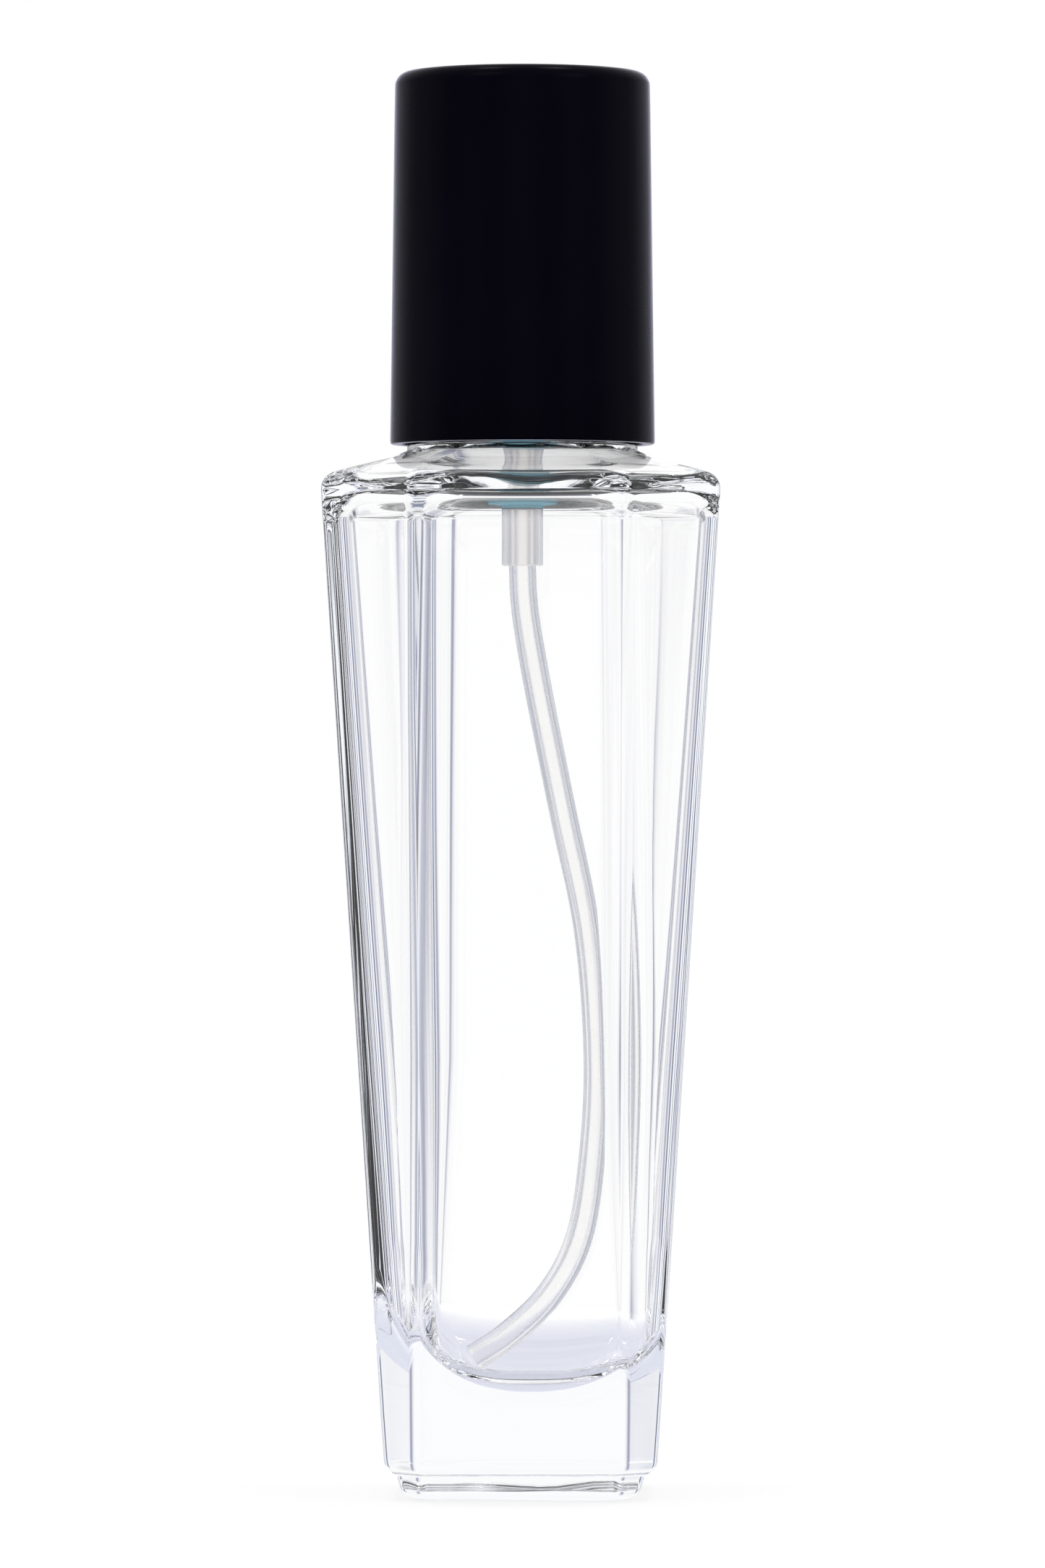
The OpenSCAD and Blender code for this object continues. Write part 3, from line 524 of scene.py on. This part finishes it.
def build_glass():
    wall_n = (math.cos(TAPER_ANGLE), -math.sin(TAPER_ANGLE))
    run = WALL[1] - SEAT_R
    shoulder_a = math.atan(SHOULDER_RISE / run)
    base = arc_centre((wall_at(Z_BODY), Z_BODY), wall_n, (0, -1), BASE_EDGE_R)
    rim = arc_centre((wall_at(Z_RIM), Z_RIM), wall_n,
                     (math.sin(shoulder_a), math.cos(shoulder_a)), RIM_EDGE_R)
    foot_top = wall_at(Z_BODY) - FOOT_INSET
    foot_a = math.atan(FOOT_TAPER / Z_BODY)
    foot = arc_centre((foot_top - FOOT_TAPER, 0), (math.cos(foot_a), -math.sin(foot_a)),
                      (0, -1), FOOT_EDGE_R)
    rings = []
    # hollow in the foot's underside
    for r, z in ((2.5, PUNT_DEPTH), (5.0, PUNT_DEPTH), (PUNT_R - 0.35, PUNT_DEPTH),
                 (PUNT_R - 0.12, PUNT_DEPTH - 0.06), (PUNT_R, PUNT_DEPTH / 2),
                 (PUNT_R + 0.12, 0.06), (PUNT_R + 0.35, 0.0)):
        rings.append(circle_like(r, z))
    # foot
    steps = 8
    for i in range(steps + 1):
        t = mix(-math.pi / 2, -foot_a, i / steps)
        rings.append(outer_ring(foot[1] + FOOT_EDGE_R * math.sin(t),
                                foot[0] + FOOT_EDGE_R * math.cos(t)))
    # hollow fillet under the body, then the body's lower edge
    for i in range(6):
        t = mix(math.pi, math.pi / 2, i / 5)
        rings.append(outer_ring(Z_BODY - FOOT_COVE + FOOT_COVE * math.sin(t),
                                foot_top + FOOT_COVE + FOOT_COVE * math.cos(t)))
    for i in range(steps + 1):
        t = mix(-math.pi / 2, -TAPER_ANGLE, i / steps)
        rings.append(outer_ring(base[1] + BASE_EDGE_R * math.sin(t),
                                base[0] + BASE_EDGE_R * math.cos(t)))
    # walls
    for z in np.linspace(8, 88, 17):
        rings.append(outer_ring(z, wall_at(z)))
    # rim edge and shoulder
    for i in range(11):
        t = mix(-TAPER_ANGLE, math.pi / 2 - shoulder_a, i / 10)
        rings.append(outer_ring(rim[1] + RIM_EDGE_R * math.sin(t),
                                rim[0] + RIM_EDGE_R * math.cos(t)))
    x_end = rim[0] + RIM_EDGE_R * math.sin(shoulder_a)
    for i in range(1, 19):
        u = i / 18
        x = mix(x_end, SEAT_R, u)
        s = (WALL[1] - x) / run
        rings.append(outer_ring(Z_RIM + SHOULDER_RISE * s, x, u * u * (3 - 2 * u)))
    # seat, neck and lip
    for r, z in ((SEAT_R, Z_SEAT_FOOT + 0.3), (SEAT_R - 0.05, Z_SEAT - 0.1),
                 (SEAT_R - 0.2, Z_SEAT), (9.5, Z_SEAT), (NECK_R + 0.5, Z_SEAT),
                 (NECK_R + 0.15, Z_SEAT + 0.15), (NECK_R, Z_SEAT + 0.5)):
        rings.append(circle_like(r, z))
    for z in np.linspace(Z_SEAT + 3, Z_NECK_TOP - 1.2, 4):
        rings.append(circle_like(NECK_R, z))
    for i in range(6):
        t = math.pi / 2 * i / 5
        rings.append(circle_like(NECK_R - LIP_R + LIP_R * math.cos(t),
                                 Z_NECK_TOP - LIP_R + LIP_R * math.sin(t)))
    for i in range(5):
        t = math.pi / 2 * i / 4
        rings.append(circle_like(BORE_R + BORE_LIP_R - BORE_LIP_R * math.sin(t),
                                 Z_NECK_TOP - BORE_LIP_R + BORE_LIP_R * math.cos(t)))
    for z in np.linspace(Z_NECK_TOP - 4, Z_THROAT + 2, 4):
        rings.append(circle_like(BORE_R, z))
    # throat and the underside of the shoulder
    z_rim_in = Z_RIM - SHOULDER_T
    wide = cavity_at(z_rim_in)[0][0]
    run_in = wide - BORE_R
    rise_in = Z_THROAT - z_rim_in
    throat_a = math.atan(rise_in / run_in)
    top = arc_centre((wide, z_rim_in), wall_n,
                     (math.sin(throat_a), math.cos(throat_a)), CEILING_R)
    x1 = top[0] + CEILING_R * math.sin(throat_a)

    def ceiling(x):
        return z_rim_in + rise_in * (wide - x) / run_in

    x0 = BORE_R + THROAT_LIP
    for i in range(6):
        t = mix(math.pi / 2, throat_a, i / 5)
        reach = (math.sin(t) - math.sin(throat_a)) / (1 - math.sin(throat_a))
        rings.append(circle_like(x0 - THROAT_LIP * reach, ceiling(x0)
                                 + THROAT_LIP * (math.cos(throat_a) - math.cos(t))))
    cavity_from = len(rings) - 1
    for i in range(1, 25):
        u = i / 25
        x = mix(x0, x1, u)
        near = min(1.0, max(0.0, (x_end - x - 0.5) / (x_end - SEAT_R)))
        rings.append(cavity_ring(ceiling(x), x, near * near * (3 - 2 * near)))
    for i in range(9):
        t = mix(math.pi / 2 - throat_a, -TAPER_ANGLE, i / 8)
        z = top[1] + CEILING_R * math.sin(t)
        rings.append(cavity_ring(z, top[0] + CEILING_R * math.cos(t)))
    # walls and the bowl of the floor
    for z in np.linspace(84, Z_BOWL, 12):
        rings.append(cavity_ring(z, cavity_at(z)[0][0]))
    rise = []
    for p in rings[-1]:
        side = (p[0] / math.hypot(p[0], p[1])) ** 2
        reach = mix(FRONT_RISE if p[1] < 0 else BACK_RISE,
                    LEFT_RISE if p[0] < 0 else RIGHT_RISE, side * side * (3 - 2 * side))
        rise.append(reach)
    for i in range(1, 5):
        u = i / 5
        rings.append(at_heights([mix(Z_BOWL, BASE_T + h, u) for h in rise], 1.0, 0.0))
    for i in range(22):
        t = mix(math.pi / 2 - TAPER_ANGLE, BOWL_SLOPE, i / 21)
        u = (t - BOWL_SLOPE) / (math.pi / 2 - TAPER_ANGLE - BOWL_SLOPE)
        share = math.sin(t) / math.cos(TAPER_ANGLE)
        climb = math.cos(BOWL_SLOPE) - math.cos(t)
        heights = [BASE_T + max(h, FRONT_RISE) * climb for h in rise]
        rings.append(at_heights(heights, share, (1 - u) ** 2))
    # the cavity sits off centre, and the foot and the lower edge wave
    for i in range(cavity_from, len(rings)):
        share = min(1.0, (i - cavity_from) / 24)
        rings[i] = [(x + CAVITY_SHIFT[0] * share, y + CAVITY_SHIFT[1] * share, z)
                    for x, y, z in rings[i]]
    rings = [[uneven(p) if i < cavity_from else p for p in ring]
             for i, ring in enumerate(rings)]
    body = skin(rings, (0, 0, PUNT_DEPTH), (*CAVITY_SHIFT, BASE_T - 0.01))
    # the ridge is a shell of its own, sunk into the neck
    return join(body, thread_ridge())


def thread_ridge():
    """The neck's screw ridge, whose ends fade towards the neck."""
    steps = round(THREAD_TURNS * 48)
    root = NECK_R - THREAD_SINK
    rings = []
    for i in range(steps + 1):
        t = 2 * math.pi * THREAD_TURNS * i / steps
        rise = Z_THREAD + PITCH * THREAD_TURNS * i / steps
        gone = 360 * THREAD_TURNS * min(i, steps - i) / steps
        full = 0.02 + 0.98 * min(1, gone / THREAD_FADE)
        top = mix(root, NECK_R + THREAD_DEPTH, full)
        side = top - CREST_EDGE * full
        rings.append([(r * math.cos(t), r * math.sin(t), rise + h) for r, h in (
            (root, ROOT_W / 2), (side, CREST_W / 2 + 0.05), (top, CREST_W / 2 - CREST_EDGE),
            (top, CREST_EDGE - CREST_W / 2), (side, -CREST_W / 2 - 0.05),
            (root, -ROOT_W / 2))])
    mid_a = np.mean(rings[0], axis=0)
    mid_b = np.mean(rings[-1], axis=0)
    return skin(rings, tuple(mid_a), tuple(mid_b))


def fit_box(obj):
    """Keeps the last hundredths of finer curves inside the CAD model's box."""
    lo, hi = np.array(cad_box[0]), np.array(cad_box[1])
    for v in obj.data.vertices:
        for k in range(3):
            v.co[k] = min(max(v.co[k], lo[k]), hi[k])


glass = new_mesh("glass_body", *build_glass(), GLASS)
fit_box(glass)
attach(glass, "bottle")
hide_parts("glass_bottle")


# ---- overcap ----

def cap_side(z, r):
    return r - (z - Z_CAP) * math.tan(CAP_DRAFT)


def build_cap():
    top = cap_side(Z_CAP_TOP, CAP_R)
    bore = CAP_R - CAP_WALL
    points = [(0, Z_CAP_TOP), (4, Z_CAP_TOP), (8, Z_CAP_TOP), (10, Z_CAP_TOP)]
    for i in range(11):
        t = math.pi / 2 * (1 - i / 10)
        points.append((top - CAP_EDGE_R + CAP_EDGE_R * math.cos(t),
                       Z_CAP_TOP - CAP_EDGE_R + CAP_EDGE_R * math.sin(t)))
    for z in (127, 120, 112, 104, 99):
        points.append((cap_side(z, CAP_R), z))
    points += [(cap_side(Z_CAP + 0.25, CAP_R), Z_CAP + 0.25), (CAP_R - 0.06, Z_CAP + 0.07),
               (CAP_R - 0.2, Z_CAP), (bore + 0.15, Z_CAP), (bore + 0.04, Z_CAP + 0.04),
               (bore, Z_CAP + 0.15), (cap_side(110, bore), 110)]
    inner = cap_side(Z_CAP_INSIDE, bore)
    points += [(inner, Z_CAP_INSIDE - 0.8), (inner - 0.2, Z_CAP_INSIDE - 0.2),
               (inner - 0.8, Z_CAP_INSIDE), (5, Z_CAP_INSIDE), (0, Z_CAP_INSIDE)]
    return profile(points, 160)


cap = new_mesh("overcap", *build_cap(), CAP)
fit_box(cap)
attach(cap, "cap")
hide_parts("cap_shell")


# ---- pump housing and dip tube ----

def build_housing():
    outer = [(SOCKET_R, Z_SOCKET), (SOCKET_R, Z_SOCKET_TOP), (HOUSING_R, Z_CHAMBER),
             (HOUSING_R, Z_FLANGE), (FLANGE_R, Z_FLANGE), (FLANGE_R, Z_FLANGE_TOP),
             (CHAMBER_R, Z_FLANGE_TOP), (CHAMBER_R, Z_CHAMBER), (TUBE_BORE_R, Z_CHAMBER),
             (TUBE_BORE_R, Z_SOCKET + TUBE_GRIP),
             (SOCKET_BORE_R, Z_SOCKET + TUBE_GRIP), (SOCKET_BORE_R, Z_SOCKET)]
    radii = [0.18, 0.4, 0.3, 0.3, 0.2, 0.2, 0.15, 0.15, 0.1, 0.1, 0.1, 0.15]
    return profile(rounded(outer, radii, 4), 72)


housing = new_mesh("pump_body", *build_housing(), HOUSING)
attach(housing, "pump")
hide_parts("pump_housing")


def curve(p, i, t):
    """Smooth curve through the points p, at share t between points i and i + 1."""
    n = len(p) - 1
    a, b, c, d = p[max(0, i - 1)], p[i], p[min(n, i + 1)], p[min(n, i + 2)]
    return (2 * b + (c - a) * t + (2 * a - 5 * b + 4 * c - d) * t ** 2
            + (3 * b - a - 3 * c + d) * t ** 3) / 2


def build_tube():
    route = [np.array([TUBE_BOW * x, mix(Z_TIP, Z_SOCKET, h)]) for x, h in reversed(ROUTE)]
    line = [curve(route, i, j / 8) for i in range(len(route) - 1) for j in range(8)]
    line += [np.array([0, Z_SOCKET + h]) for h in (0, 2, 4, 6, TUBE_GRIP)]
    rings = []

    def section(k, r, past=0.0):
        a, b = line[max(0, k - 1)], line[min(len(line) - 1, k + 1)]
        t = (b - a) / np.linalg.norm(b - a)
        p = line[k] + t * past
        return [(p[0] + r * math.cos(s) * t[1], r * math.sin(s), p[1] - r * math.cos(s) * t[0])
                for s in (2 * math.pi * j / TUBE_SIDES for j in range(TUBE_SIDES))]

    last = len(line) - 1
    rings.append(section(0, TUBE_BORE_R + 0.1))
    rings.append(section(0, TUBE_R - 0.12))
    rings.append(section(0, TUBE_R, 0.08))
    rings += [section(k, TUBE_R) for k in range(1, last)]
    rings.append(section(last, TUBE_R, -0.08))
    rings.append(section(last, TUBE_R - 0.12))
    rings.append(section(last, TUBE_BORE_R + 0.1))
    rings.append(section(last, TUBE_BORE_R, -0.08))
    rings += [section(k, TUBE_BORE_R) for k in range(last - 1, 0, -1)]
    rings.append(section(0, TUBE_BORE_R, 0.08))
    return skin(rings, closed=True)


tube = new_mesh("dip_tube_bent", *build_tube(), TUBE)
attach(tube, "pump")
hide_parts("dip_tube")


# ---- return spring ----

def build_spring():
    wire = SPRING_WIRE_R
    low, high = Z_SPRING[0] + wire, Z_SPRING[1] - wire
    steps, sides = int(SPRING_TURNS * 28), 10
    rings = []
    for i in range(steps + 1):
        t, z = 2 * math.pi * SPRING_TURNS * i / steps, mix(low, high, i / steps)
        rings.append([((SPRING_R + wire * math.cos(s)) * math.cos(t),
                       (SPRING_R + wire * math.cos(s)) * math.sin(t), z + wire * math.sin(s))
                      for s in (2 * math.pi * j / sides for j in range(sides))])
    return skin(rings, tuple(np.mean(rings[0], axis=0)), tuple(np.mean(rings[-1], axis=0)))


spring = new_mesh("spring_coil", *build_spring(), STEEL_WIRE)
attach(spring, "pump")
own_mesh(spring)
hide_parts("return_spring")


# ---- CAD nodes that stay, with their finish ----

for node, finish in {"neck_gasket": GASKET, "screw_collar": WHITE, "ball_cage": CAGE,
                     "inlet_ball": STEEL_BALL, "piston_seat": WHITE, "piston": WHITE,
                     "stem": WHITE, "turret": WHITE, "button": BUTTON,
                     "nozzle_insert": WHITE, "cap_liner": LINER}.items():
    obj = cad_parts[node]
    for s in obj.material_slots:
        s.material = finish


# ---- floor, world and lamps ----

# colours of the studio by degrees from its nearest side, and the elevations in degrees over
# which its dark flags fade in and out again
STUDIO_SIDES = ((0, (1, 1, 1)), (11, (1, 1, 1)), (15, (0.80, 0.80, 0.87)),
                (19, (0.30, 0.31, 0.38)), (23, (0.42, 0.46, 0.62)), (26.5, (1, 1, 1)),
                (31, (0.0, 0.0, 0.05)), (34, (0.36, 0.41, 0.64)), (37, (1, 1, 1)),
                (42.5, (0.92, 0.96, 1)), (45, (0.0, 0.0, 0.02)))
STUDIO_CORNER = 45
FLAGS_FROM, FLAGS_TO = (-11.5, -8.5), (17, 28)


def math_node(tree, operation, a, b):
    node = tree.nodes.new("ShaderNodeMath")
    node.operation = operation
    for k, value in enumerate((a, b)):
        if isinstance(value, (int, float)):
            node.inputs[k].default_value = value
        else:
            tree.links.new(value, node.inputs[k])
    return node.outputs[0]


def studio(tree, x, y, z):
    """Colour of the studio in a direction: dark flags between its four white sides."""
    # share of the way from the nearest of the four sides to the nearest diagonal
    turn = math_node(tree, "ADD", math_node(tree, "ARCTAN2", x, y), AZIMUTH)
    away = math_node(tree, "DIVIDE", math_node(tree, "PINGPONG", turn, math.pi / 4),
                     math.pi / 4)
    above = smooth(tree, z, math.sin(math.radians(FLAGS_FROM[0])),
                   math.sin(math.radians(FLAGS_FROM[1])))
    below = smooth(tree, z, math.sin(math.radians(FLAGS_TO[0])),
                   math.sin(math.radians(FLAGS_TO[1])), 1.0, 0.0)
    tint = ramp(tree, away.node, [(t / STUDIO_CORNER, c) for t, c in STUDIO_SIDES])
    blend = tree.nodes.new("ShaderNodeMix")
    blend.data_type = "RGBA"
    blend.inputs[6].default_value = (1, 1, 1, 1)
    tree.links.new(math_node(tree, "MULTIPLY", above, below), blend.inputs[0])
    tree.links.new(tint.outputs[0], blend.inputs[7])
    return blend.outputs[2]


FLOOR_R, FLOOR_SIDES, FLOOR_DROP = 0.256, 128, 0.00002
FLOOR_GLOW = 0.82


def mix_shader(tree, share, low, high):
    node = tree.nodes.new("ShaderNodeMixShader")
    tree.links.new(share, node.inputs[0])
    tree.links.new(low.outputs[0], node.inputs[1])
    tree.links.new(high.outputs[0], node.inputs[2])
    return node


def build_floor():
    """Pale disc that keeps the shadow. Rays that come through glass pass it, through a painted
    shade that darkens and cools it near the bottle, and meet the studio's light."""
    mesh = bpy.data.meshes.new("floor")
    mesh.from_pydata([(FLOOR_R * math.cos(2 * math.pi * i / FLOOR_SIDES),
                       FLOOR_R * math.sin(2 * math.pi * i / FLOOR_SIDES), -FLOOR_DROP)
                      for i in range(FLOOR_SIDES)], [], [tuple(range(FLOOR_SIDES))])
    obj = bpy.data.objects.new("floor", mesh)
    bpy.context.collection.objects.link(obj)
    mat = bpy.data.materials.new("pale_floor")
    mat.use_nodes = True
    tree = mat.node_tree
    tree.nodes.clear()
    out = tree.nodes.new("ShaderNodeOutputMaterial")
    plain = tree.nodes.new("ShaderNodeBsdfDiffuse")
    plain.inputs["Color"].default_value = (0.93, 0.93, 0.94, 1)
    glow = tree.nodes.new("ShaderNodeEmission")
    glow.inputs["Color"].default_value = (1, 1, 1, 1)
    glow.inputs["Strength"].default_value = 1.0
    path = tree.nodes.new("ShaderNodeLightPath")
    # painted shade: seen through glass, the floor next to the bottle is made darker and cooler
    place = tree.nodes.new("ShaderNodeTexCoord")
    reach = tree.nodes.new("ShaderNodeVectorMath")
    reach.operation = "LENGTH"
    tree.links.new(place.outputs["Object"], reach.inputs[0])
    painted_shade_ramp = tree.nodes.new("ShaderNodeValToRGB")
    painted_shade_ramp.color_ramp.elements[0].position = 0.045
    painted_shade_ramp.color_ramp.elements[0].color = (0.66, 0.68, 0.80, 1)
    painted_shade_ramp.color_ramp.elements[1].position = 0.105
    painted_shade_ramp.color_ramp.elements[1].color = (1, 1, 1, 1)
    tree.links.new(reach.outputs["Value"], painted_shade_ramp.inputs[0])
    # the painted shade round the bottle tints the rays that pass the floor
    clear = tree.nodes.new("ShaderNodeBsdfTransparent")
    tree.links.new(painted_shade_ramp.outputs[0], clear.inputs["Color"])
    lit = mix_shader(tree, path.outputs["Is Transmission Ray"], glow, clear)
    seen = math_node(tree, "MAXIMUM", path.outputs["Is Camera Ray"],
                     path.outputs["Is Glossy Ray"])
    seen = math_node(tree, "MAXIMUM", seen, path.outputs["Is Transmission Ray"])
    share = math_node(tree, "MULTIPLY", seen, FLOOR_GLOW)
    tree.links.new(mix_shader(tree, share, plain, lit).outputs[0], out.inputs["Surface"])
    mesh.materials.append(mat)


build_floor()


def build_world():
    """White studio; gloss and glass also meet dark flags between its four white sides."""
    world = bpy.data.worlds.new("studio")
    bpy.context.scene.world = world
    world.use_nodes = True
    tree = world.node_tree
    tree.nodes.clear()
    out = tree.nodes.new("ShaderNodeOutputWorld")
    coords = tree.nodes.new("ShaderNodeTexCoord")
    split = tree.nodes.new("ShaderNodeSeparateXYZ")
    tree.links.new(coords.outputs["Generated"], split.inputs[0])
    x, y, z = (split.outputs[k] for k in range(3))
    tint = studio(tree, x, y, z)
    path = tree.nodes.new("ShaderNodeLightPath")
    gleam = math_node(tree, "MAXIMUM", path.outputs["Is Glossy Ray"],
                      path.outputs["Is Transmission Ray"])
    clear = math_node(tree, "LESS_THAN", path.outputs["Diffuse Depth"], 0.5)
    gleam = math_node(tree, "MULTIPLY", gleam, clear)
    pattern, soft, white = (tree.nodes.new("ShaderNodeBackground") for _ in range(3))
    tree.links.new(tint, pattern.inputs["Color"])
    soft.inputs["Color"].default_value = (0.94, 0.94, 0.96, 1)
    white.inputs["Color"].default_value = (1, 1, 1, 1)
    unseen = mix_shader(tree, gleam, soft, pattern)
    world_light = mix_shader(tree, path.outputs["Is Camera Ray"], unseen, white)
    tree.links.new(world_light.outputs[0], out.inputs["Surface"])


build_world()


def lamp(name, place, target, size, watts):
    """A round soft lamp that faces a target."""
    data = bpy.data.lights.new(name, "AREA")
    data.shape = "DISK"
    data.size = size
    data.energy = watts
    obj = bpy.data.objects.new(name, data)
    bpy.context.collection.objects.link(obj)
    obj.location = place
    away = np.array(place) - np.array(target)
    yaw = math.atan2(away[0], -away[1])
    tilt = math.atan2(math.hypot(away[0], away[1]), away[2])
    obj.rotation_euler = (tilt, 0, yaw)


lamp("key", (-0.55, -0.75, 0.75), (0, 0, 0.07), 0.45, 1.2)
lamp("fill", (0.7, -0.6, 0.5), (0, 0, 0.07), 0.45, 0.9)
lamp("top_left", (-0.235, 0.05, 1.0), (0, 0, 0.1), 0.13, 1.6)
lamp("top_right", (0.235, 0.05, 1.0), (0, 0, 0.1), 0.13, 1.6)

# ---- camera ----

data = bpy.data.cameras.new("camera")
data.sensor_width = SENSOR
data.lens = SENSOR * DISTANCE / (PHOTO_HEIGHT * MM / PIXELS_PER_MM)
data.clip_start, data.clip_end = 0.01, 20
camera = bpy.data.objects.new("camera", data)
bpy.context.collection.objects.link(camera)
camera.location = (DISTANCE * math.sin(AZIMUTH), -DISTANCE * math.cos(AZIMUTH), HEIGHT)
camera.rotation_euler = (math.pi / 2, 0, AZIMUTH)
scene = bpy.context.scene
scene.camera = camera
scene.view_settings.view_transform = "Standard"
scene.cycles.max_bounces = 24
scene.cycles.transmission_bounces = 24
scene.cycles.glossy_bounces = 8
scene.cycles.diffuse_bounces = 16
scene.cycles.transparent_max_bounces = 16
